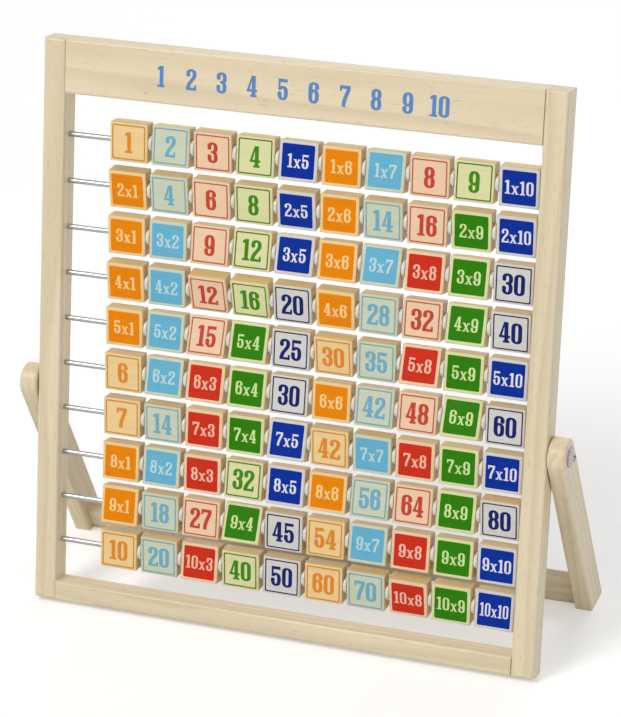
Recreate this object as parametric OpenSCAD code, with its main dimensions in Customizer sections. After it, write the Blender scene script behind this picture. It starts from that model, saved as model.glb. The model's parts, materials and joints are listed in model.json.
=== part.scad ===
// Wooden multiplication board: ten steel rods in a leaning beech frame, each with ten
// turning and sliding number tiles, on a U-shaped stand that folds flat behind the frame.
// Millimetres, +Z up, front towards -Y, origin at the middle of the footprint.

/* [Tiles] */
// Width of one tile along its rod
tile_w = 22.3; // [16:0.1:25]
// Height of a tile's printed face
tile_h = 22.1; // [16:0.1:23]
// Thickness of a tile, front to back
tile_d = 9; // [7.5:0.5:12]
// Rounding of a tile's edges
tile_edge = 1.2; // [0.5:0.1:2]
// Distance from one rod to the next
row_pitch = 26; // [25.5:0.1:32]

/* [Rods] */
// Diameter of a rod
rod_d = 3; // [2:0.1:4]
// Depth that a rod's end sits in a stile
rod_seat = 6.5; // [4:0.5:7]
// Length of bare rod that the tiles can slide along
slide_room = 26; // [10:0.5:60]
// Gap between the last tile and the right stile
end_gap = 0.6; // [0.2:0.1:3]

/* [Spacers] */
// Outer diameter of the ring between two tiles
spacer_d = 9.6; // [7:0.1:12]
// Length of the ring along the rod
spacer_w = 2.1; // [1.8:0.1:6]
// Rounding of the ring's rims
spacer_edge = 0.7; // [0.3:0.1:0.8]

/* [Frame] */
// Front width of each stile
stile_w = 13; // [12.5:0.5:20]
// Depth of the whole frame, front to back
frame_d = 15; // [14:0.5:22]
// Height of the header board
header_h = 30; // [24:1:50]
// Height of the bottom rail
rail_h = 11; // [9:0.5:20]
// Clear space above the top tiles and below the bottom ones
row_margin = 12.5; // [8:0.5:25]
// Rounding of the frame's and the stand's long edges
edge_r = 1.5; // [0.5:0.1:2.5]
// Angle by which the frame leans back
lean = 14; // [8:1:20]

/* [Stand] */
// Width of a leg, seen from the side
leg_w = 20; // [18:0.5:26]
// Thickness of a leg
leg_t = 10; // [8:0.5:14]
// Gap between a leg and its stile
leg_gap = 0.5; // [0.3:0.1:1.5]
// Angle between the frame and the open stand
open_angle = 37; // [30:1:45]
// Height of the crossbar, along the legs
crossbar_h = 18; // [16:0.5:26]
// Thickness of the crossbar
crossbar_t = 11; // [9:0.5:14]

/* [Pivots] */
// Diameter of a pivot screw's shank
screw_d = 4; // [3:0.1:5]
// Depth of the screw in the stile
screw_bite = 9; // [6:0.5:10]
// Diameter of the screw's domed head
head_d = 8.4; // [7:0.1:10]
// Height of the screw's head
head_h = 2.2; // [1.6:0.1:3]
// Outer diameter of the washer under the head
washer_d = 11; // [10.5:0.1:14]
// Thickness of the washer
washer_t = 0.8; // [0.5:0.1:1.5]
// Diameter of the pin that stops the stand
stop_pin_d = 3; // [2:0.1:3.2]
// Distance of the stop pin from the pivot
stop_radius = 12; // [10:0.5:13]
// Depth of the stop pin in the stile
stop_seat = 5; // [3:0.5:5]
// Reach of the stop pin into the leg's groove
stop_reach = 3; // [2:0.5:4]

/* [Dowels] */
// Diameter of the glued dowels
dowel_d = 5; // [4:0.5:6]
// Depth of a dowel in a stile or a leg
dowel_seat = 6; // [4:0.5:7]
// Depth of a dowel in the bar that it holds
dowel_reach = 12; // [8:1:20]

/* [Clearances] */
// Radial play of what turns or slides on a pin
running_gap = 0.1; // [0.05:0.05:0.1]
// Play of what is glued or pressed in
glue_gap = 0.05; // [0.02:0.01:0.1]
// Play between faces that slide along each other
side_gap = 0.1; // [0.05:0.05:0.4]
// Gap between the folded stand's crossbar and the frame
fold_gap = 0.3; // [0.2:0.1:1]
// Play of the stop pin at each end of its groove
stop_end_gap = 0.15; // [0.1:0.05:0.3]

/* [Hidden] */

WOOD = "wheat";
TILE_WOOD = "cornsilk";
DOWEL_WOOD = "tan";
STEEL = "silver";
RING = "whitesmoke";

$fn = 48;
COLS = 10;
ROWS = 10;

// Degrees by which each tile leans with its top towards the front, row by row from the top
REST_TILT = [
    [3, -2, 6, 0, -4, 2, -6, 4, -1, 5],
    [11, 10, 8, 8, 10, 3, 8, 3, 7, 6],
    [5, 2, -3, -6, -10, -4, -13, -5, -7, 3],
    [9, 5, 20, 18, 11, 9, 2, -3, -11, 6],
    [4, -5, -15, -14, 0, 12, 4, -14, -2, -1],
    [5, -10, -10, -9, -3, 0, -5, -4, -17, 3],
    [3, 6, 0, -1, -12, 6, 6, 2, 2, 2],
    [0, -4, 2, -5, -6, -5, -6, -3, -7, 9],
    [-5, 3, -2, -18, 3, 2, -6, -2, -2, 2],
    [2, 5, -3, 6, 3, 4, 8, 14, 5, -2],
];

// Widths along the rods
col_pitch = tile_w + spacer_w + 2 * side_gap;
tiles_w = COLS * col_pitch - (col_pitch - tile_w);
inner_w = slide_room + tiles_w + end_gap;
frame_w = inner_w + 2 * stile_w;
leg_in = frame_w / 2 + leg_gap;
leg_out = leg_in + leg_t;

// Heights along the leaning frame
header_z = rail_h + 2 * row_margin + (ROWS - 1) * row_pitch + tile_h;
frame_h = header_z + header_h;
// The pivot lies half-way between the fourth rod from the bottom and the one above it
pivot_z = row_z(ROWS) + 3.5 * row_pitch;

// The frame stands on its rounded lower back edge
frame_rise = (frame_d / 2 - edge_r) * sin(lean) + edge_r * (1 - cos(lean));
pivot_height = frame_rise + pivot_z * cos(lean);
leg_angle = open_angle - lean;
leg_length = pivot_height / cos(leg_angle);

// Footprint, measured from the middle of the frame's lower edge
front_y = (frame_d / 2 - edge_r) * cos(lean) - edge_r * sin(lean) + edge_r;
foot_y = pivot_z * sin(lean) + pivot_height * tan(leg_angle) + leg_w / 2 / cos(leg_angle);
top_y = frame_h * sin(lean) + frame_d / 2 * cos(lean);
board_y = (front_y - max(foot_y, top_y)) / 2;

// The folded stand stops where its crossbar meets the frame's back
bar_start = leg_length - crossbar_h;
folded_angle = asin((frame_d / 2 + crossbar_t / 2 + fold_gap) / bar_start);
stop_middle = (open_angle + folded_angle) / 2;
stop_half = (open_angle - folded_angle) / 2;

// How far a cutting shape runs past the face that it cuts
past = 1;

function row_z(row) = rail_h + row_margin + tile_h / 2 + (ROWS - row) * row_pitch;
function tile_x(col) = inner_w / 2 - end_gap - tile_w / 2 - (COLS - col) * col_pitch;

// A rectangle a by b with its corners rounded by true arcs
module rounded(a, b, r) {
    square([a - 2 * r, b], center = true);
    square([a, b - 2 * r], center = true);
    for (i = [-1, 1], j = [-1, 1]) {
        translate([i * (a / 2 - r), j * (b / 2 - r)]) circle(r = r);
    }
}

// Extrusions of a flat outline along X, from an outline drawn as (Y, Z), and along Y, from (X, Z)
module prism_x(length) {
    rotate([90, 0, 90]) linear_extrude(length, center = true) children();
}

module prism_y(length) {
    rotate([90, 0, 0]) linear_extrude(length, center = true) children();
}

// A round pin or hole along X, from x0 to x1
module round_x(x0, x1, d) {
    translate([x0, 0, 0]) rotate([0, 90, 0]) cylinder(h = x1 - x0, d = d);
}

// What is drawn on the right is drawn on the left too when side is -1
module on_side(side) {
    mirror([side < 0 ? 1 : 0, 0, 0]) children();
}

// From the upright frame, standing on its middle, to its leaning place
module leaning() {
    translate([0, board_y, frame_rise]) rotate([-lean, 0, 0]) children();
}

// From a stand that hangs straight down from its pivot to its open place
module opened() {
    translate([0, board_y + pivot_z * sin(lean), pivot_height]) rotate([leg_angle, 0, 0]) children();
}

// Cuts off all that is below the surface that the board stands on
module above_floor() {
    depth = 4 * leg_w;
    difference() {
        children();
        translate([0, 0, -depth / 2]) cube([2 * frame_w, 4 * frame_h, depth], center = true);
    }
}

// Dowels that stick out of a bar's end, drawn on the right at x, one at each height in zs
module dowels(x, zs, play) {
    for (z = zs) {
        translate([0, 0, z]) round_x(x - dowel_reach - play, x + dowel_seat + play, dowel_d + 2 * play);
    }
}

header_dowel_zs = [header_z + header_h / 4, header_z + header_h * 3 / 4];
rail_dowel_zs = [rail_h / 2];
bar_dowel_zs = [-(bar_start + crossbar_h * 0.22), -(bar_start + crossbar_h * 0.66)];

module frame_bar(height, z) {
    translate([0, 0, z + height / 2]) prism_x(inner_w) rounded(frame_d, height, edge_r);
}

module header_board() {
    color(WOOD) leaning() difference() {
        frame_bar(header_h, header_z);
        for (side = [-1, 1]) on_side(side) dowels(inner_w / 2, header_dowel_zs, glue_gap);
    }
}

module bottom_rail() {
    color(WOOD) leaning() difference() {
        frame_bar(rail_h, 0);
        for (side = [-1, 1]) on_side(side) dowels(inner_w / 2, rail_dowel_zs, glue_gap);
    }
}

// Place of the stop pin in the upright frame
module at_stop_pin() {
    translate([0, 0, pivot_z]) rotate([stop_middle, 0, 0]) translate([0, 0, -stop_radius]) children();
}

module stile() {
    outer = frame_w / 2;
    difference() {
        translate([outer - stile_w / 2, 0, 0]) intersection() {
            linear_extrude(frame_h) rounded(stile_w, frame_d, edge_r);
            translate([0, 0, frame_h / 2]) prism_x(stile_w) rounded(frame_d, frame_h, edge_r);
        }
        for (row = [1:ROWS]) {
            translate([0, 0, row_z(row)]) round_x(0, inner_w / 2 + rod_seat + glue_gap, rod_d + 2 * glue_gap);
        }
        dowels(inner_w / 2, header_dowel_zs, glue_gap);
        dowels(inner_w / 2, rail_dowel_zs, glue_gap);
        translate([0, 0, pivot_z]) {
            round_x(outer - screw_bite - glue_gap, outer + past, screw_d + 2 * glue_gap);
        }
        at_stop_pin() round_x(outer - stop_seat - glue_gap, outer + past, stop_pin_d + 2 * glue_gap);
    }
}

module left_stile() {
    color(WOOD) leaning() on_side(-1) stile();
}

module right_stile() {
    color(WOOD) leaning() on_side(1) stile();
}

module header_dowels() {
    color(DOWEL_WOOD) leaning() for (side = [-1, 1]) on_side(side) dowels(inner_w / 2, header_dowel_zs, 0);
}

module rail_dowels() {
    color(DOWEL_WOOD) leaning() for (side = [-1, 1]) on_side(side) dowels(inner_w / 2, rail_dowel_zs, 0);
}

module rod(row) {
    half = inner_w / 2 + rod_seat;
    tip = rod_d / 6;
    color(STEEL) leaning() translate([-half, 0, row_z(row)]) rotate([0, 90, 0]) rotate_extrude() polygon([
        [0, 0],
        [rod_d / 2 - tip, 0],
        [rod_d / 2, tip],
        [rod_d / 2, 2 * half - tip],
        [rod_d / 2 - tip, 2 * half],
        [0, 2 * half],
    ]);
}

module rod_bore(length) {
    round_x(-length, length, rod_d + 2 * running_gap);
}

// One tile about its rod, rounded along all twelve edges
module tile() {
    difference() {
        intersection() {
            prism_x(tile_w) rounded(tile_d, tile_h, tile_edge);
            prism_y(tile_d) rounded(tile_w, tile_h, tile_edge);
            linear_extrude(tile_h, center = true) rounded(tile_w, tile_d, tile_edge);
        }
        rod_bore(tile_w);
    }
}

module row_tiles(row) {
    color(TILE_WOOD) leaning() for (col = [1:COLS]) {
        translate([tile_x(col), 0, row_z(row)]) rotate([REST_TILT[row - 1][col - 1], 0, 0]) tile();
    }
}

// One ring, turned with rounded rims
module spacer() {
    bore_r = rod_d / 2 + running_gap;
    wall = spacer_d / 2 - bore_r;
    rim = spacer_w / 2 - spacer_edge;
    rotate([0, 90, 0]) rotate_extrude() {
        translate([bore_r, -spacer_w / 2]) square([wall - spacer_edge, spacer_w]);
        translate([bore_r, -rim]) square([wall, 2 * rim]);
        for (side = [-1, 1]) translate([spacer_d / 2 - spacer_edge, side * rim]) circle(r = spacer_edge);
    }
}

module row_spacers(row) {
    color(RING) leaning() for (col = [1:COLS - 1]) {
        translate([tile_x(col) + col_pitch / 2, 0, row_z(row)]) spacer();
    }
}

// A leg hanging straight down from its pivot: a round end with a rounded rim, and a shank
module leg_blank() {
    overrun = leg_w;
    shank = leg_length + overrun;
    translate([(leg_in + leg_out) / 2, 0, 0]) {
        rotate([0, 90, 0]) rotate_extrude() intersection() {
            rounded(leg_w, leg_t, edge_r);
            translate([0, -leg_t]) square([leg_w, 2 * leg_t]);
        }
        translate([0, 0, -shank]) linear_extrude(shank) rounded(leg_t, leg_w, edge_r);
    }
}

// Curved groove in the leg's inner face, with square ends, that the stop pin runs in
module stop_groove() {
    width = stop_pin_d + 2 * running_gap;
    sweep = 2 * (stop_half + asin((stop_pin_d / 2 + stop_end_gap) / stop_radius));
    depth = stop_reach + glue_gap;
    rotate([-sweep / 2, 0, 0]) rotate([0, 90, 0]) translate([0, 0, leg_in - past]) {
        rotate_extrude(angle = sweep) translate([stop_radius - width / 2, 0]) square([width, depth + past]);
    }
}

module leg() {
    above_floor() opened() difference() {
        leg_blank();
        round_x(leg_in - past, leg_out + past, screw_d + 2 * running_gap);
        stop_groove();
        dowels(leg_in, bar_dowel_zs, glue_gap);
    }
}

module left_leg() {
    color(WOOD) on_side(-1) leg();
}

module right_leg() {
    color(WOOD) on_side(1) leg();
}

module crossbar() {
    overrun = crossbar_t;
    blank_h = crossbar_h + overrun;
    color(WOOD) above_floor() opened() difference() {
        translate([0, 0, -bar_start - blank_h / 2]) prism_x(2 * leg_in) rounded(crossbar_t, blank_h, edge_r);
        for (side = [-1, 1]) on_side(side) dowels(leg_in, bar_dowel_zs, glue_gap);
    }
}

module crossbar_dowels() {
    color(DOWEL_WOOD) opened() for (side = [-1, 1]) on_side(side) dowels(leg_in, bar_dowel_zs, 0);
}

washer_x = leg_out + side_gap;
head_x = washer_x + washer_t;

// A domed screw along X: pointed shank, head, and a cross recess in the head
module pivot_screw() {
    tip = screw_d / 2;
    start = frame_w / 2 - screw_bite;
    shank = head_x - start;
    sphere_r = (head_h * head_h + head_d * head_d / 4) / (2 * head_h);
    recess_w = head_d / 8;
    recess_l = head_d / 2;
    difference() {
        union() {
            translate([start, 0, 0]) rotate([0, 90, 0]) rotate_extrude() polygon([
                [0, 0],
                [tip, tip],
                [tip, shank],
                [0, shank],
            ]);
            translate([head_x, 0, 0]) rotate([0, 90, 0]) rotate_extrude() intersection() {
                translate([0, head_h - sphere_r]) circle(r = sphere_r);
                square([head_d / 2, head_h]);
            }
        }
        translate([head_x + head_h, 0, 0]) for (turn = [45, 135]) {
            rotate([turn, 0, 0]) cube([head_h, recess_w, recess_l], center = true);
        }
    }
}

module pivot_screws() {
    color(STEEL) leaning() translate([0, 0, pivot_z]) for (side = [-1, 1]) on_side(side) pivot_screw();
}

module pivot_washers() {
    color(STEEL) leaning() translate([0, 0, pivot_z]) for (side = [-1, 1]) on_side(side) difference() {
        round_x(washer_x, head_x, washer_d);
        round_x(washer_x - past, head_x + past, screw_d + 2 * glue_gap);
    }
}

module stop_pins() {
    outer = frame_w / 2;
    color(STEEL) leaning() for (side = [-1, 1]) on_side(side) at_stop_pin() {
        round_x(outer - stop_seat, leg_in + stop_reach - side_gap, stop_pin_d);
    }
}

header_board();
bottom_rail();
left_stile();
right_stile();
header_dowels();
rail_dowels();
for (row = [1:ROWS]) {
    rod(row);
    row_tiles(row);
    row_spacers(row);
}
left_leg();
right_leg();
crossbar();
crossbar_dowels();
pivot_screws();
pivot_washers();
stop_pins();
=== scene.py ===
import json
import math

import bmesh
import bpy
from mathutils import Matrix, Vector
from mathutils.geometry import delaunay_2d_cdt


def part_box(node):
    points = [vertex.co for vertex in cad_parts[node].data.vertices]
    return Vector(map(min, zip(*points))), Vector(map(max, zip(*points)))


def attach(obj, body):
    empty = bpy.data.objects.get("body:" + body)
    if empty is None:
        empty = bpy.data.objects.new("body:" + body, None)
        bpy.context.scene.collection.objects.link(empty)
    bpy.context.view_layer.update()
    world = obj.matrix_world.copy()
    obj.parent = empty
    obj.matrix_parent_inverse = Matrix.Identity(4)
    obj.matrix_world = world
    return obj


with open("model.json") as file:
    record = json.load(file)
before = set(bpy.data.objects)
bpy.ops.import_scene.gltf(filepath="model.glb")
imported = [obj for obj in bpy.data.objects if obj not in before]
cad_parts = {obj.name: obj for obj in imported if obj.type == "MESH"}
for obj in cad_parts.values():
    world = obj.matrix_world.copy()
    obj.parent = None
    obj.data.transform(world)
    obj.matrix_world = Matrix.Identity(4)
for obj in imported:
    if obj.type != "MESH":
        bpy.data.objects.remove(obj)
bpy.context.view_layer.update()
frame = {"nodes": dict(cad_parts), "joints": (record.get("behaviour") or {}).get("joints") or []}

MM = 0.001
ROWS = 10
COLS = 10


# Places taken from the frame

def joint_place(name):
    """Where the named joint's axis passes, in metres."""
    for joint in frame["joints"]:
        if joint["name"] == name:
            return Vector(joint["pos_m"])
    raise KeyError(name)


TOP_ROD = joint_place("row_1_turn")
LOW_ROD = joint_place(f"row_{ROWS}_turn")
ROW_STEP = (TOP_ROD - LOW_ROD) / (ROWS - 1)
LEAN = math.atan2(ROW_STEP.y, ROW_STEP.z)
BOARD_UP = ROW_STEP.normalized()
BOARD_FRONT = Vector((0, -math.cos(LEAN), math.sin(LEAN)))
RIGHT = Vector((1, 0, 0))
# Turns a board that stands upright into the leaning one
LEANING = Matrix.Rotation(-LEAN, 3, "X")
BOARD_MIDDLE = (TOP_ROD + LOW_ROD) / 2


def box_length(name):
    low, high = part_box(name)
    return high.x - low.x


# Ten tiles and nine rings a row, so the two lengths together are eighteen times the pitch
COLUMN_PITCH = (box_length("row_1_tiles") + box_length("row_1_spacers")) / (2 * COLS - 2)
TILE_W = box_length("row_1_tiles") - (COLS - 1) * COLUMN_PITCH


# Colours

def srgb(red, green, blue):
    """Linear colour with alpha from eight-bit sRGB values."""
    def linear(value):
        share = value / 255
        if share <= 0.04045:
            return share / 12.92
        return ((share + 0.055) / 1.055) ** 2.4
    return (linear(red), linear(green), linear(blue), 1)


def grey(value):
    return (value, value, value, 1)


def shade(colour, factor):
    return (colour[0] * factor, colour[1] * factor, colour[2] * factor, 1)


def tinted(colour, factor):
    """A darker tone of the wood, a little redder than the wood itself."""
    return (colour[0] * factor * 1.08, colour[1] * factor, colour[2] * factor * 0.86, 1)


BLACK = grey(0)
WHITE = grey(1)
TILE_WOOD = srgb(229, 203, 142)
FRAME_WOOD = srgb(239, 225, 194)
DOWEL_WOOD = srgb(222, 200, 160)
ROD_STEEL = (0.47, 0.47, 0.48, 1)
SCREW_STEEL = (0.48, 0.48, 0.50, 1)
RING_DARK = srgb(212, 210, 202)
RING_LIGHT = srgb(228, 227, 221)
HEADER_BLUE = srgb(96, 142, 200)

# Each ink family: the solid field, the pale text on it, the pale wash of an answer, its line and its number
INKS = {
    "orange": {
        "field": srgb(240, 138, 2), "text": srgb(255, 216, 146),
        "wash": srgb(246, 212, 152), "line": srgb(204, 142, 74), "number": srgb(232, 142, 48),
    },
    "sky": {
        "field": srgb(106, 182, 214), "text": srgb(192, 222, 226),
        "wash": srgb(208, 216, 192), "line": srgb(132, 168, 180), "number": srgb(116, 178, 202),
    },
    "red": {
        "field": srgb(210, 50, 26), "text": srgb(252, 194, 170),
        "wash": srgb(244, 210, 176), "line": srgb(186, 96, 76), "number": srgb(206, 70, 54),
    },
    "green": {
        "field": srgb(46, 128, 1), "text": srgb(208, 232, 158),
        "wash": srgb(226, 226, 172), "line": srgb(86, 118, 38), "number": srgb(64, 140, 18),
    },
    "navy": {
        "field": srgb(2, 48, 156), "text": srgb(228, 228, 244),
        "wash": srgb(218, 216, 212), "line": srgb(40, 38, 82), "number": srgb(22, 34, 106),
    },
}
COLUMN_INKS = ["orange", "sky", "red", "green", "navy"] * 2

# What each tile shows to the front, row by row: Q its question, A its answer
SHOWN = [
    "AAAAQQQAAQ",
    "QAAAQQAAQQ",
    "QQAAQQQQQA",
    "QQAAAQAAQA",
    "QQAQAAAQQQ",
    "AQQQAQAAQA",
    "AAQQQAQQQQ",
    "QQQAQQAAQA",
    "QAAQAAQQQQ",
    "AAQAAAAQQQ",
]


# Materials

# How squarely a surface cuts the grain where end grain begins to show, and where it shows fully
END_FROM = 0.55
END_TO = 0.95


class Nodes:
    """Short ways to add and join nodes in one material."""

    def __init__(self, name):
        self.material = bpy.data.materials.new(name)
        self.material.use_nodes = True
        self.tree = self.material.node_tree
        self.shader = self.tree.nodes["Principled BSDF"]

    def add(self, kind, inputs=None, **settings):
        made = self.tree.nodes.new(kind)
        for name, value in settings.items():
            setattr(made, name, value)
        for name, value in (inputs or {}).items():
            self.put(value, made.inputs[name])
        return made

    def put(self, value, socket):
        """Links another node's output to the socket, or sets the socket to a plain value."""
        if isinstance(value, bpy.types.NodeSocket):
            self.tree.links.new(value, socket)
        else:
            socket.default_value = value

    def math(self, operation, first, second=0.0):
        made = self.add("ShaderNodeMath", {0: first, 1: second}, operation=operation)
        return made.outputs[0]

    def vector_math(self, operation, first, second):
        made = self.add("ShaderNodeVectorMath", {0: first, 1: second}, operation=operation)
        return made.outputs["Vector"]

    def length(self, vector):
        return self.add("ShaderNodeVectorMath", {0: vector}, operation="LENGTH").outputs["Value"]

    def ramp(self, factor, stops):
        made = self.add("ShaderNodeValToRGB", {"Fac": factor})
        ramp = made.color_ramp
        while len(ramp.elements) < len(stops):
            ramp.elements.new(0.5)
        for element, (place, colour) in zip(ramp.elements, stops):
            element.position = place
            element.color = colour
        return made.outputs["Color"]

    def mix(self, factor, first, second, blend="MIX"):
        made = self.add("ShaderNodeMix", data_type="RGBA", blend_type=blend)
        # A mix of colours has its factor at socket 0 and its two colours at 6 and 7
        for number, value in ((0, factor), (6, first), (7, second)):
            self.put(value, made.inputs[number])
        return made.outputs[2]

    def noise(self, vector, scale, detail=3.0, roughness=0.5):
        made = self.add("ShaderNodeTexNoise", {
            "Vector": vector, "Scale": scale, "Detail": detail, "Roughness": roughness,
        })
        return made.outputs["Fac"]

    def turned_point(self, turn=0.0):
        """Place on the object after a turn about X, which stands a leaning piece upright."""
        place = self.add("ShaderNodeTexCoord").outputs["Object"]
        return self.add("ShaderNodeMapping", {"Vector": place, "Rotation": (turn, 0, 0)}).outputs["Vector"]

    def stretched(self, scale):
        """Place on the object with its own scale along each axis."""
        made = self.add("ShaderNodeMapping", {"Vector": self.turned_point(), "Scale": scale})
        return made.outputs["Vector"]

    def end_share(self, turn, axis):
        """How squarely the surface cuts across the axis, from nought to one, after a turn about X."""
        normal = self.add("ShaderNodeTexCoord").outputs["Normal"]
        turned = self.add(
            "ShaderNodeMapping", {"Vector": normal, "Rotation": (turn, 0, 0)}, vector_type="NORMAL",
        )
        parts = self.add("ShaderNodeSeparateXYZ", {"Vector": turned.outputs["Vector"]})
        square = self.math("ABSOLUTE", parts.outputs[axis])
        made = self.add("ShaderNodeMapRange", {"Value": square, "From Min": END_FROM, "From Max": END_TO})
        return made.outputs["Result"]

    def roughness_of(self, value, smooth, rough):
        made = self.add("ShaderNodeMapRange", {"Value": value, "To Min": smooth, "To Max": rough})
        self.tree.links.new(made.outputs["Result"], self.shader.inputs["Roughness"])

    def bump(self, height, distance, strength):
        made = self.add("ShaderNodeBump", {"Height": height, "Distance": distance, "Strength": strength})
        self.tree.links.new(made.outputs["Normal"], self.shader.inputs["Normal"])

    def base(self, colour):
        self.tree.links.new(colour, self.shader.inputs["Base Color"])

    def fixed(self, **values):
        for name, value in values.items():
            self.shader.inputs[name.replace("_", " ")].default_value = value


def across_grain(made, point, axis, heart):
    """Distance of a point from the heart of the tree, which runs along the grain's axis."""
    scale = [1, 1, 1]
    scale["XYZ".index(axis)] = 0
    moved = made.vector_math("SUBTRACT", point, heart)
    return made.length(made.vector_math("MULTIPLY", moved, scale))


def along_grain(made, point, axis, along, across):
    """The point with its own scale along and across the grain."""
    scale = [across, across, across]
    scale["XYZ".index(axis)] = along
    return made.vector_math("MULTIPLY", point, scale)


# Repeats a metre of each mark of the wood, along and across the grain
DRIFT = (3.0, 26.0)
FIBRES = (16.0, 620.0)
PATCHES = (5.0, 40.0)
FLECKS = (130.0, 1100.0)
PORES = 1500.0
# How far the year rings wander from round, and how far apart they are, in metres
WANDER = 0.016
FRAME_RING = 0.0042
TILE_RING = 0.0032
# Each mark's strength and its tone beside the wood's own
LATE_WOOD_MARK = (0.30, 0.62)
FIBRE_MARK = (0.34, 0.74)
FLECK_MARK = (0.28, 0.5)
END_STRENGTH = 0.55
END_TONES = (0.60, 0.84)
# How plainly the grain shows in each kind of piece
FRAME_CONTRAST = 1.5
DOWEL_CONTRAST = 1.0
TILE_CONTRAST = 0.8


def grown_wood(made, point, turn, axis, heart, colour, contrast, ring):
    """Colour and relief of pale wood.

    It has year rings about the heart, fine fibres, short dark flecks and darker end grain.
    """
    def grain(scales, **settings):
        return made.noise(along_grain(made, point, axis, *scales), 1.0, **settings)

    def marked(tone, share, mark):
        strength, darkness = mark
        return made.mix(made.math("MULTIPLY", share, strength * contrast), tone, tinted(colour, darkness))

    drift = made.math("MULTIPLY", grain(DRIFT, detail=2.0), WANDER)
    distance = made.math("ADD", across_grain(made, point, axis, heart), drift)
    phase = made.math("FRACT", made.math("DIVIDE", distance, ring))
    late_wood = made.ramp(phase, [(0.0, BLACK), (0.35, grey(0.05)), (0.86, WHITE), (1.0, BLACK)])
    fibres = grain(FIBRES, detail=3.0, roughness=0.6)
    flecks = made.ramp(grain(FLECKS, detail=1.0), [(0.64, BLACK), (0.74, WHITE)])
    tone = made.ramp(grain(PATCHES, detail=2.0), [
        (0.3, shade(colour, 1 - 0.08 * contrast)),
        (0.7, shade(colour, 1 + 0.05 * contrast)),
    ])
    tone = marked(tone, late_wood, LATE_WOOD_MARK)
    tone = marked(tone, fibres, FIBRE_MARK)
    tone = marked(tone, flecks, FLECK_MARK)
    pores = made.noise(point, PORES, detail=2.0)
    end_tone = made.mix(pores, *(tinted(colour, factor) for factor in END_TONES))
    tone = made.mix(made.math("MULTIPLY", made.end_share(turn, axis), END_STRENGTH), tone, end_tone)
    relief = made.math("ADD", fibres, made.math("MULTIPLY", flecks, -0.5))
    return tone, relief


def lacquer(made, relief, depth, smooth, rough, coat_roughness):
    """Satin lacquer, thin enough for the grain to be felt through it."""
    made.bump(relief, depth, 0.6)
    made.roughness_of(relief, smooth, rough)
    made.fixed(Coat_Weight=0.2, Coat_Roughness=coat_roughness)


def wood(name, colour, axis, turn, heart, contrast):
    """Lacquered pale wood with its grain along one axis of the board or of the stand."""
    made = Nodes(name)
    point = made.turned_point(turn)
    tone, relief = grown_wood(made, point, turn, axis, heart, colour, contrast, FRAME_RING)
    made.base(tone)
    lacquer(made, relief, depth=0.12 * MM, smooth=0.36, rough=0.5, coat_roughness=0.3)
    return made.material


def tile_wood():
    """The tiles' wood: grain along the rod, and for each tile a place in the tree and a tone of its own."""
    made = Nodes("tile_wood")
    point = made.turned_point(LEAN)
    parts = made.add("ShaderNodeSeparateXYZ", {"Vector": point})

    def count(axis, first, step):
        """Which step along the axis the point is in."""
        past = made.math("SUBTRACT", parts.outputs[axis], first)
        return made.math("FLOOR", made.math("DIVIDE", past, step))

    first_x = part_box("row_1_tiles")[0].x
    first_z = (LEANING.inverted() @ LOW_ROD).z - ROW_STEP.length / 2
    column = count("X", first_x, COLUMN_PITCH)
    row = count("Z", first_z, ROW_STEP.length)
    place = made.add("ShaderNodeCombineXYZ", {"X": column, "Y": row}).outputs["Vector"]
    chance = made.add("ShaderNodeTexWhiteNoise", {"Vector": place}, noise_dimensions="3D")
    own_place = made.vector_math("ADD", chance.outputs["Color"], point)
    heart = (0, 0.35, 0.1)
    tone, relief = grown_wood(made, own_place, 0.0, "X", heart, TILE_WOOD, TILE_CONTRAST, TILE_RING)
    own_tone = made.ramp(chance.outputs["Value"], [(0.0, (0.86, 0.82, 0.76, 1)), (1.0, WHITE)])
    made.base(made.mix(1.0, tone, own_tone, "MULTIPLY"))
    lacquer(made, relief, depth=0.1 * MM, smooth=0.34, rough=0.46, coat_roughness=0.25)
    return made.material


# Repeats a metre of the ink's marks: fibres and streaks along and across the grain, and its thickness
INK_FIBRES = (30.0, 900.0)
INK_STREAKS = (22.0, 330.0)
INK_COVER = 120.0


def ink(name, colour):
    """Screen print on lacquered wood: an even tone that the grain shows through a little."""
    made = Nodes(name)
    point = made.turned_point(LEAN)
    fibres = made.noise(along_grain(made, point, "X", *INK_FIBRES), 1.0, detail=4.0, roughness=0.6)
    cover = made.noise(point, INK_COVER, detail=3.0)
    streaks = made.noise(along_grain(made, point, "X", *INK_STREAKS), 1.0, detail=2.0)
    streak_share = made.ramp(streaks, [(0.45, BLACK), (0.75, grey(0.3))])
    tone = made.mix(made.math("MULTIPLY", fibres, 0.22), colour, shade(colour, 0.72))
    tone = made.mix(streak_share, tone, shade(colour, 0.78))
    tone = made.mix(made.math("MULTIPLY", cover, 0.16), tone, shade(colour, 1.15))
    made.base(tone)
    made.bump(fibres, 0.08 * MM, 0.5)
    made.roughness_of(cover, 0.36, 0.5)
    made.fixed(Specular_IOR_Level=0.1)
    return made.material


def steel(name, colour, roughness, scratch_scale):
    """Bright drawn or turned steel with fine scratches."""
    made = Nodes(name)
    scratches = made.noise(made.stretched(scratch_scale), 1.0, detail=4.0, roughness=0.7)
    made.base(made.ramp(scratches, [(0.3, shade(colour, 0.82)), (0.7, colour)]))
    made.roughness_of(scratches, roughness - 0.06, roughness + 0.1)
    made.bump(scratches, 0.03 * MM, 0.5)
    made.fixed(Metallic=1.0)
    return made.material


def ring_plastic():
    """Milky white plastic with a faint moulded grain."""
    made = Nodes("ring_plastic")
    specks = made.noise(made.turned_point(), 900.0, detail=3.0)
    made.base(made.ramp(specks, [(0.3, RING_DARK), (0.7, RING_LIGHT)]))
    made.bump(specks, 0.04 * MM, 0.4)
    made.fixed(Roughness=0.34, Subsurface_Weight=0.15, Subsurface_Scale=2 * MM)
    return made.material


# Figures: strokes of an upright oval pen, in units of the figure's height

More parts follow.
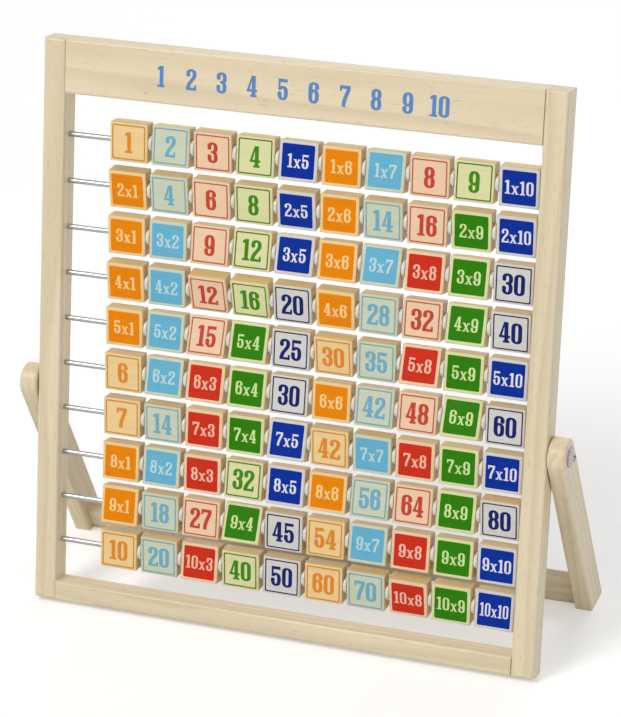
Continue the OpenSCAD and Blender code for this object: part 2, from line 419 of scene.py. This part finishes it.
# Points of a pen's path nearer to each other than this are one
SAME_POINT = 0.004
# The turn that one piece of an arc makes, at most, in degrees
ARC_STEP = 18
# Half the height of the round top and foot of 0, 2, 6 and 9
END_CURVE = 0.19
# Where the bowls of 3 and 8 meet, and how high those of 5 and 6 reach
WAIST = 0.53
BOWL_5 = 0.62
BOWL_6 = 0.61
# The flat tops of 5 and 7 are thicker than the pen's bar by this much
TOP_EXTRA = 0.04
BALL_SIDES = 12


def arc(x, y, rx, ry, start, stop, squareness=0.82):
    """Points of a slightly squared oval arc from start to stop, in degrees."""
    steps = max(4, round(abs(stop - start) / ARC_STEP))
    points = []
    for i in range(steps + 1):
        angle = math.radians(start + (stop - start) * i / steps)
        c = math.cos(angle)
        s = math.sin(angle)
        points.append((
            x + rx * math.copysign(abs(c) ** squareness, c),
            y + ry * math.copysign(abs(s) ** squareness, s),
        ))
    return points


def curve(a, b, c, d, steps=9):
    """Points of a cubic curve with ends a and d and handles b and c."""
    points = []
    for i in range(steps + 1):
        t = i / steps
        u = 1 - t
        weights = (u * u * u, 3 * u * u * t, 3 * u * t * t, t * t * t)
        points.append(tuple(sum(w * p[k] for w, p in zip(weights, (a, b, c, d))) for k in (0, 1)))
    return points


def stroke(path, stem, bar, closed=False):
    """Four-sided pieces that cover the path of a pen, stem wide and bar high."""
    points = [path[0]]
    for point in path[1:]:
        if math.dist(point, points[-1]) > SAME_POINT:
            points.append(point)
    if closed and math.dist(points[0], points[-1]) < SAME_POINT:
        points.pop()
    count = len(points)
    sides = []
    for i, (x, y) in enumerate(points):
        before = points[(i - 1) % count] if closed or i > 0 else points[i]
        after = points[(i + 1) % count] if closed or i < count - 1 else points[i]
        length = math.dist(before, after)
        nx = -(after[1] - before[1]) / length
        ny = (after[0] - before[0]) / length
        reach = math.hypot(stem / 2 * nx, bar / 2 * ny)
        dx = (stem / 2) ** 2 * nx / reach
        dy = (bar / 2) ** 2 * ny / reach
        sides.append(((x + dx, y + dy), (x - dx, y - dy)))
    pairs = zip(sides, sides[1:] + sides[:1]) if closed else zip(sides, sides[1:])
    return [[a[0], a[1], b[1], b[0]] for a, b in pairs]


def block(x0, y0, x1, y1):
    return [(x0, y0), (x1, y0), (x1, y1), (x0, y1)]


def ball(x, y, radius):
    turns = [math.tau * i / BALL_SIDES for i in range(BALL_SIDES)]
    return [(x + radius * math.cos(turn), y + radius * math.sin(turn)) for turn in turns]


class Figures:
    """Slab-serif figures of one weight. Each method gives a figure's width and its pieces."""

    def __init__(self, width, stem, bar, slab, terminal):
        self.width = width
        self.stem = stem
        self.bar = bar
        self.slab = slab
        self.terminal = terminal
        self.left = stem / 2
        self.right = width - stem / 2
        self.middle = width / 2
        self.low = bar / 2
        self.top = 1 - bar / 2
        self.round = (self.right - self.left) / 2
        self.shapes = {
            "0": self.zero(), "1": self.one(), "2": self.two(), "3": self.three(), "4": self.four(),
            "5": self.five(), "6": self.six(), "7": self.seven(), "8": self.eight(), "9": self.nine(),
            "x": self.times(),
        }

    def pen(self, path, closed=False):
        return stroke(path, self.stem, self.bar, closed)

    def bowl(self, y, half, start, stop, narrower=1.0):
        """Points of an arc as wide as the figure, with its centre at height y."""
        return arc(self.middle, y, self.round * narrower, half, start, stop)

    def zero(self):
        ring = self.bowl(self.top - END_CURVE, END_CURVE, 0, 180)
        ring += self.bowl(self.low + END_CURVE, END_CURVE, 180, 360)
        return self.width, self.pen(ring, closed=True)

    def one(self):
        width = self.width * 0.74
        left = width * 0.56 - self.stem / 2
        flag = [(left + 0.02, 0.82), (left + 0.02, 1.0), (0.01, 0.91), (0.01, 0.80)]
        return width, [block(left, 0, left + self.stem, 1), block(0.01, 0, width, self.slab), flag]

    def two(self):
        path = self.bowl(self.top - END_CURVE, END_CURVE, 180, 0)
        start = (self.right, self.top - END_CURVE)
        path += curve(start, (self.right, 0.50), (self.left + 0.02, 0.42), (self.left, self.low))
        pieces = self.pen(path)
        pieces.append(ball(self.left + 0.01, self.top - 0.21, self.terminal))
        pieces.append(block(0, 0, self.width, self.bar + 0.01))
        pieces.append(block(self.width - self.slab, 0, self.width, 0.25))
        return self.width, pieces

    def three(self):
        upper = (self.top - WAIST) / 2
        lower = (WAIST - self.low) / 2
        pieces = self.pen(self.bowl(self.top - upper, upper, 170, -90))
        pieces += self.pen(self.bowl(self.low + lower, lower, 90, -170))
        pieces.append(ball(self.left + 0.01, self.top - upper - 0.01, self.terminal * 0.95))
        pieces.append(ball(self.left + 0.01, self.low + lower + 0.01, self.terminal))
        tongue = (self.middle - 0.07, WAIST - self.bar / 2, self.middle + 0.02, WAIST + self.bar / 2)
        pieces.append(block(*tongue))
        return self.width, pieces

    def four(self):
        beam = 0.24
        stem_x = self.width * 0.67
        left = stem_x - self.stem / 2
        pieces = [
            block(left, 0, left + self.stem, 1),
            block(0, beam, self.width + 0.01, beam + self.bar),
            block(stem_x - 0.16, 0, stem_x + 0.16, self.slab),
            [(0, beam + 0.02), (0.12, beam + 0.02), (left + 0.01, 0.80), (stem_x, 1), (left - 0.02, 1)],
        ]
        return self.width + 0.01, pieces

    def five(self):
        half = (BOWL_5 - self.low) / 2
        pieces = self.pen(self.bowl(self.low + half, half, 150, -170))
        pieces.append(ball(self.left + 0.01, self.low + half - 0.03, self.terminal))
        pieces.append(block(0.04, 1 - TOP_EXTRA - self.bar, self.width - 0.03, 1))
        pieces.append(block(0.04, 0.47, 0.04 + self.slab, 1))
        return self.width, pieces

    def six(self):
        half = (BOWL_6 - self.low) / 2
        path = self.bowl(self.top - END_CURVE, END_CURVE, 0, 180)
        path += self.bowl(self.low + half, half, 180, 360)
        pieces = self.pen(path) + self.pen(self.bowl(self.low + half, half, 0, 180))
        pieces.append(ball(self.right - 0.01, self.top - 0.20, self.terminal))
        return self.width, pieces

    def seven(self):
        pieces = [block(0, 1 - TOP_EXTRA - self.bar, self.width, 1), block(0, 0.73, self.slab, 1)]
        leg = self.width * 0.40
        pieces += self.pen(curve((self.right + 0.02, 0.93), (self.right, 0.62), (leg, 0.46), (leg, 0)))
        return self.width, pieces

    def eight(self):
        upper = (self.top - WAIST) / 2
        lower = (WAIST - self.low) / 2
        pieces = self.pen(self.bowl(self.top - upper, upper, 0, 360, narrower=0.93), closed=True)
        pieces += self.pen(self.bowl(self.low + lower, lower, 0, 360), closed=True)
        return self.width, pieces

    def nine(self):
        """A six turned upside down."""
        width, pieces = self.six()
        return width, [[(width - x, 1 - y) for x, y in piece] for piece in pieces]

    def times(self):
        height = 0.62
        width = self.width * 1.02
        foot = width * 0.40
        serif = self.slab * 0.72
        left = 0.21 * width
        right = 0.79 * width
        thick = (self.stem * 0.95, self.bar * 0.5)
        thin = (self.stem * 0.6, self.bar * 0.45)
        pieces = stroke([(left, height - 0.02), (right, 0.02)], *thick)
        pieces += stroke([(right, height - 0.02), (left, 0.02)], *thin)
        for x in (0, width - foot):
            pieces.append(block(x, 0, x + foot, serif))
            pieces.append(block(x, height - serif, x + foot, height))
        return width, pieces


QUESTION_FIGURES = Figures(width=0.52, stem=0.17, bar=0.10, slab=0.09, terminal=0.095)
ANSWER_FIGURES = Figures(width=0.515, stem=0.19, bar=0.115, slab=0.10, terminal=0.105)


def set_text(figures, text, height, widest, gap, x=0.0):
    """Pieces of a line of figures with its middle at x and height nought, no wider than widest."""
    total = sum(figures.shapes[c][0] for c in text) + gap * (len(text) - 1)
    squeeze = min(1.0, widest / (total * height))
    pen = -total / 2
    pieces = []
    for c in text:
        width, shapes = figures.shapes[c]
        for shape in shapes:
            pieces.append([(x + (pen + px) * height * squeeze, (py - 0.5) * height) for px, py in shape])
        pen += width + gap
    return pieces


CORNER_STEPS = 4


def rounded_square(width, height, radius):
    """Outline of a rectangle with round corners, centred."""
    points = []
    for cx, cy, start in ((1, 1, 0), (-1, 1, 90), (-1, -1, 180), (1, -1, 270)):
        for i in range(CORNER_STEPS + 1):
            angle = math.radians(start + 90 / CORNER_STEPS * i)
            points.append((
                cx * (width / 2 - radius) + radius * math.cos(angle),
                cy * (height / 2 - radius) + radius * math.sin(angle),
            ))
    return points


def flat_print(layers):
    """Triangles of overlapping flat shapes, each with the material of the topmost layer that covers it.

    layers is a list of (material index, pieces) from the lowest to the topmost, in millimetres.
    """
    points = []
    faces = []
    layer_of = []
    for level, (_, pieces) in enumerate(layers):
        for piece in pieces:
            faces.append(list(range(len(points), len(points) + len(piece))))
            points += [Vector(p) for p in piece]
            layer_of.append(level)
    corners, _, triangles, _, _, sources = delaunay_2d_cdt(points, [], faces, 1, 1e-4)
    kept = []
    for triangle, source in zip(triangles, sources):
        if source:
            level = max(layer_of[s] for s in source)
            kept.append((triangle, layers[level][0]))
    return corners, kept


# Printing

# How far the ink stands above the wood
LIFT = 0.05 * MM


def new_object(name, mesh, materials):
    made = bpy.data.objects.new(name, mesh)
    bpy.context.scene.collection.objects.link(made)
    for material in materials:
        mesh.materials.append(material)
    return made


def lay_print(made, layers, middle, right, up, outward):
    """Adds the layers' triangles just above the flat place that middle and its directions give."""
    corners, triangles = flat_print(layers)
    verts = [
        made.verts.new(middle + right * (c[0] * MM) + up * (c[1] * MM) + outward * LIFT) for c in corners
    ]
    for triangle, material in triangles:
        face = made.faces.new([verts[v] for v in triangle])
        face.material_index = material


def print_object(made, name, materials):
    """Ends a print: an object without the points that no face uses."""
    loose = [v for v in made.verts if not v.link_faces]
    bmesh.ops.delete(made, geom=loose, context="VERTS")
    made.normal_update()
    mesh = bpy.data.meshes.new(name)
    made.to_mesh(mesh)
    made.free()
    return new_object(name, mesh, materials)


# Tile faces, in millimetres: the question's field, the answer's outline and its line, and the text
FIELD_W = 18.6
FIELD_H = 18.3
OUTLINE = 19.5
LINE = 0.75
CORNER = 0.9
QUESTION_H = 7.5
QUESTION_W = 16.0
ANSWER_H = 11.7
ANSWER_W = 14.0
# Gaps between figures, in units of their height
QUESTION_GAP = 0.085
ANSWER_GAP = 0.05
ROLES = ["field", "text", "wash", "line", "number"]
# The polygons of a tile's face are larger than this, and those of its edges and bore are smaller
BIG_FACE = 100 * MM * MM
# A polygon whose normal points along the rod by more than this is on a tile's end
SIDEWAYS = 0.1
# The wash goes round the tile's edges by this turn, in so many steps
RIM_TURN = math.radians(45)
RIM_STEPS = 4
SQUARE = ((-1, -1), (1, -1), (1, 1), (-1, 1))


def tile_faces(row):
    """A row's flat faces by column and side: middle, width, height, right, up and outward of each."""
    mesh = frame["nodes"][f"row_{row}_tiles"].data
    sides = {}
    left_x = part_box(f"row_{row}_tiles")[0].x
    for polygon in mesh.polygons:
        normal = polygon.normal
        if abs(normal.x) > SIDEWAYS or polygon.area < BIG_FACE:
            continue
        corners = [mesh.vertices[v].co for v in polygon.vertices]
        middle_x = (min(c.x for c in corners) + max(c.x for c in corners)) / 2
        column = int((middle_x - left_x) / COLUMN_PITCH)
        front = normal.dot(BOARD_FRONT) > 0
        sides.setdefault((column, front), []).append((normal.copy(), corners))
    faces = {}
    for (column, front), found in sides.items():
        outward = found[0][0].normalized()
        right = RIGHT if front else -RIGHT
        up = outward.cross(right)
        corners = [c for _, some in found for c in some]
        across = [c.dot(right) for c in corners]
        along = [c.dot(up) for c in corners]
        depth = sum(c.dot(outward) for c in corners) / len(corners)
        x = (max(across) + min(across)) / 2
        y = (max(along) + min(along)) / 2
        middle = x * right + y * up + depth * outward
        width = max(across) - min(across)
        height = max(along) - min(along)
        faces[column, front] = (middle, width, height, right, up, outward)
    return faces


def question_layers(row, column, first):
    text = set_text(QUESTION_FIGURES, f"{row}x{column}", QUESTION_H, QUESTION_W, QUESTION_GAP)
    field = rounded_square(FIELD_W, FIELD_H, CORNER)
    return [(first + ROLES.index("field"), [field]), (first + ROLES.index("text"), text)]


def answer_layers(row, column, first):
    inside = OUTLINE - 2 * LINE
    text = set_text(ANSWER_FIGURES, str(row * column), ANSWER_H, ANSWER_W, ANSWER_GAP)
    return [
        (first + ROLES.index("line"), [rounded_square(OUTLINE, OUTLINE, CORNER)]),
        (first + ROLES.index("wash"), [rounded_square(inside, inside, CORNER - LINE / 2)]),
        (first + ROLES.index("number"), text),
    ]


def print_rim(made, middle, width, height, right, up, outward, material):
    """Takes the wash half-way round the tile's rounded edges."""
    radius = (TILE_W - width) / 2
    rings = []
    for i in range(RIM_STEPS + 1):
        angle = RIM_TURN * i / RIM_STEPS
        out = (radius + LIFT) * math.sin(angle)
        rise = (radius + LIFT) * math.cos(angle) - radius
        half_w = width / 2 + out
        half_h = height / 2 + out
        rings.append([
            made.verts.new(middle + right * (x * half_w) + up * (y * half_h) + outward * rise)
            for x, y in SQUARE
        ])
    for inner, outer in zip(rings, rings[1:]):
        for i in range(4):
            j = (i + 1) % 4
            face = made.faces.new([outer[i], outer[j], inner[j], inner[i]])
            face.material_index = material
            face.smooth = True


def print_row(row, ink_materials):
    """All the printing on one row of tiles, front and back."""
    made = bmesh.new()
    families = list(INKS)
    for (column, front), (middle, width, height, right, up, outward) in sorted(tile_faces(row).items()):
        first = families.index(COLUMN_INKS[column]) * len(ROLES)
        question = (SHOWN[row - 1][column] == "Q") == front
        layers_of = question_layers if question else answer_layers
        wash = first + ROLES.index("wash")
        ground = block(-width / MM / 2, -height / MM / 2, width / MM / 2, height / MM / 2)
        layers = [(wash, [ground])] + layers_of(row, column + 1, first)
        lay_print(made, layers, middle, right, up, outward)
        print_rim(made, middle, width, height, right, up, outward, wash)
    piece = print_object(made, f"row_{row}_prints", ink_materials)
    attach(piece, f"tiles_{row}")


def print_all():
    """Prints every row. The list of inks goes family by family, and role by role in each."""
    ink_materials = []
    for family, colours in INKS.items():
        for role in ROLES:
            ink_materials.append(ink(f"ink_{family}_{role}", colours[role]))
    for row in range(1, ROWS + 1):
        print_row(row, ink_materials)


# Header, in millimetres
HEADER_FIGURE_H = 11.5
HEADER_STEP = 17.5


def header_figures():
    """A plain line of the figures 1 to 10 on the header board."""
    turned = [LEANING.inverted() @ Vector(v.co) for v in frame["nodes"]["header_board"].data.vertices]
    front_y = min(v.y for v in turned)
    middle_z = (min(v.z for v in turned) + max(v.z for v in turned)) / 2
    middle = LEANING @ Vector((0, front_y, middle_z))
    pieces = []
    for number in range(1, COLS + 1):
        x = (number - (COLS + 1) / 2) * HEADER_STEP
        pieces += set_text(ANSWER_FIGURES, str(number), HEADER_FIGURE_H, HEADER_STEP, ANSWER_GAP, x)
    made = bmesh.new()
    lay_print(made, [(0, pieces)], middle, RIGHT, BOARD_UP, BOARD_FRONT)
    piece = print_object(made, "header_figures", [ink("ink_header", HEADER_BLUE)])
    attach(piece, "frame")


# Finishes of the CAD nodes

def stand_turn():
    """Angle about X that turns an open leg's length upright."""
    pivot = joint_place("stand_fold")
    low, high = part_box("crossbar")
    foot = (low + high) / 2
    return -math.atan2(foot.y - pivot.y, pivot.z - foot.z)


def finish_nodes():
    """Gives each CAD node its material. A piece's last numbers are its tree's heart, in metres."""
    def frame_wood(name, axis, turn, heart):
        return wood(name, FRAME_WOOD, axis, turn, heart, FRAME_CONTRAST)

    leg_turn = stand_turn()
    left_stile = frame_wood("left_stile_wood", "Z", LEAN, (-0.20, 0.07, 0))
    right_stile = frame_wood("right_stile_wood", "Z", LEAN, (0.22, 0.05, 0))
    header = frame_wood("header_wood", "X", LEAN, (0, 0.09, 0.27))
    rail = frame_wood("rail_wood", "X", LEAN, (0, 0.05, 0.04))
    leg = frame_wood("leg_wood", "Z", leg_turn, (0.05, 0.13, 0))
    bar = frame_wood("crossbar_wood", "X", leg_turn, (0, 0.12, -0.06))
    dowel = wood("dowel_wood", DOWEL_WOOD, "X", LEAN, (0, 0.05, 0.1), DOWEL_CONTRAST)
    tiles = tile_wood()
    rod = steel("rod_steel", ROD_STEEL, 0.28, (30, 2500, 2500))
    screw = steel("screw_steel", SCREW_STEEL, 0.26, (900, 900, 900))
    ring = ring_plastic()
    finishes = {
        "left_stile": left_stile, "right_stile": right_stile, "header_board": header, "bottom_rail": rail,
        "left_leg": leg, "right_leg": leg, "crossbar": bar,
        "header_dowels": dowel, "rail_dowels": dowel, "crossbar_dowels": dowel,
        "pivot_screws": screw, "pivot_washers": screw, "stop_pins": screw,
    }
    for row in range(1, ROWS + 1):
        finishes[f"rod_{row}"] = rod
        finishes[f"row_{row}_tiles"] = tiles
        finishes[f"row_{row}_spacers"] = ring
    for name, material in finishes.items():
        materials = frame["nodes"][name].data.materials
        materials.clear()
        materials.append(material)


# Camera

IMAGE_W = 621
SENSOR = 36
# How the photograph looks at the board's plane
VIEW_AZIMUTH = math.radians(20.1)
VIEW_ELEVATION = math.radians(15.6)
VIEW_ROLL = math.radians(2.3)
FOCAL_PX = 3160
CAMERA_DISTANCE = 1.72
AIM_SHIFT = (0.03, 0.02)
FARTHEST = 50


def place_camera():
    data = bpy.data.cameras.new("camera")
    camera = bpy.data.objects.new("camera", data)
    bpy.context.scene.collection.objects.link(camera)
    towards = LEANING @ Vector((
        math.sin(VIEW_AZIMUTH) * math.cos(VIEW_ELEVATION),
        -math.cos(VIEW_AZIMUTH) * math.cos(VIEW_ELEVATION),
        math.sin(VIEW_ELEVATION),
    ))
    level = BOARD_UP.cross(towards).normalized()
    right = Matrix.Rotation(VIEW_ROLL, 3, towards) @ level
    up = towards.cross(right)
    camera.matrix_world = Matrix((right, up, towards)).transposed().to_4x4()
    camera.location = BOARD_MIDDLE + towards * CAMERA_DISTANCE
    data.sensor_fit = "HORIZONTAL"
    data.sensor_width = SENSOR
    data.lens = FOCAL_PX / IMAGE_W * SENSOR
    data.shift_x, data.shift_y = AIM_SHIFT
    data.clip_end = FARTHEST
    bpy.context.scene.camera = camera


# Floor and light

FLOOR_HALF = 4.0
FLOOR_TONES = (0.80, 0.84)
# The floor's own brightness as the camera sees it, and where it fades to plain white
FLOOR_GLOW = 0.32
FADE_FROM = 0.45
FADE_TO = 1.1
# The world's strength for the object, and where the camera sees it directly
WORLD_LIGHT = 0.38
WORLD_SEEN = 1.0
# Each lamp's name, place, size, power and colour
LAMPS = [
    ("key", (-0.9, -1.2, 1.9), 0.9, 26, (1, 0.98, 0.95)),
    ("fill", (1.5, -1.2, 0.9), 1.4, 7, (1, 1, 1)),
    ("back", (0.2, 1.6, 1.5), 1.0, 9, (1, 1, 1)),
]


def seen_directly(tree):
    """One for rays that come from the camera, or by way of metal or glass, and nought for all others."""
    path = tree.nodes.new("ShaderNodeLightPath")
    total = path.outputs["Is Camera Ray"]
    for name in ("Is Glossy Ray", "Is Transmission Ray"):
        add = tree.nodes.new("ShaderNodeMath")
        add.operation = "MAXIMUM"
        tree.links.new(total, add.inputs[0])
        tree.links.new(path.outputs[name], add.inputs[1])
        total = add.outputs[0]
    return total


def floor_material():
    """Pale floor that keeps the shadow of the board and fades to white away from it."""
    made = Nodes("floor")
    cloudy = made.noise(made.turned_point(), 3.0, detail=2.0)
    made.base(made.ramp(cloudy, [(0.3, grey(FLOOR_TONES[0])), (0.7, grey(FLOOR_TONES[1]))]))
    made.fixed(Roughness=0.9, Emission_Color=WHITE)
    seen = seen_directly(made.tree)
    made.put(made.math("MULTIPLY", seen, FLOOR_GLOW), made.shader.inputs["Emission Strength"])
    far = made.add(
        "ShaderNodeMapRange",
        {"Value": made.length(made.turned_point()), "From Min": FADE_FROM, "From Max": FADE_TO},
        interpolation_type="SMOOTHSTEP",
    )
    white = made.add("ShaderNodeEmission", {"Color": WHITE, "Strength": 1.0})
    share = made.math("MULTIPLY", seen, far.outputs["Result"])
    surface = made.add("ShaderNodeMixShader", {0: share, 1: made.shader.outputs[0], 2: white.outputs[0]})
    made.put(surface.outputs[0], made.tree.nodes["Material Output"].inputs["Surface"])
    return made.material


def lay_floor():
    made = bmesh.new()
    made.faces.new([made.verts.new((x * FLOOR_HALF, y * FLOOR_HALF, 0)) for x, y in SQUARE])
    mesh = bpy.data.meshes.new("floor")
    made.to_mesh(mesh)
    made.free()
    new_object("floor", mesh, [floor_material()])


def area_light(name, place, size, power, colour):
    data = bpy.data.lights.new(name, "AREA")
    data.shape = "SQUARE"
    data.size = size
    data.energy = power
    data.color = colour
    lamp = bpy.data.objects.new(name, data)
    bpy.context.scene.collection.objects.link(lamp)
    lamp.location = place
    aim = BOARD_MIDDLE - Vector(place)
    lamp.rotation_euler = aim.to_track_quat("-Z", "Y").to_euler()


def light_scene():
    world = bpy.data.worlds.new("world")
    bpy.context.scene.world = world
    world.use_nodes = True
    tree = world.node_tree
    background = tree.nodes["Background"]
    background.inputs["Color"].default_value = WHITE
    strength = tree.nodes.new("ShaderNodeMapRange")
    tree.links.new(seen_directly(tree), strength.inputs["Value"])
    strength.inputs["To Min"].default_value = WORLD_LIGHT
    strength.inputs["To Max"].default_value = WORLD_SEEN
    tree.links.new(strength.outputs["Result"], background.inputs["Strength"])
    for lamp in LAMPS:
        area_light(*lamp)


bpy.context.scene.view_settings.view_transform = "Standard"
place_camera()
lay_floor()
light_scene()
finish_nodes()
print_all()
header_figures()
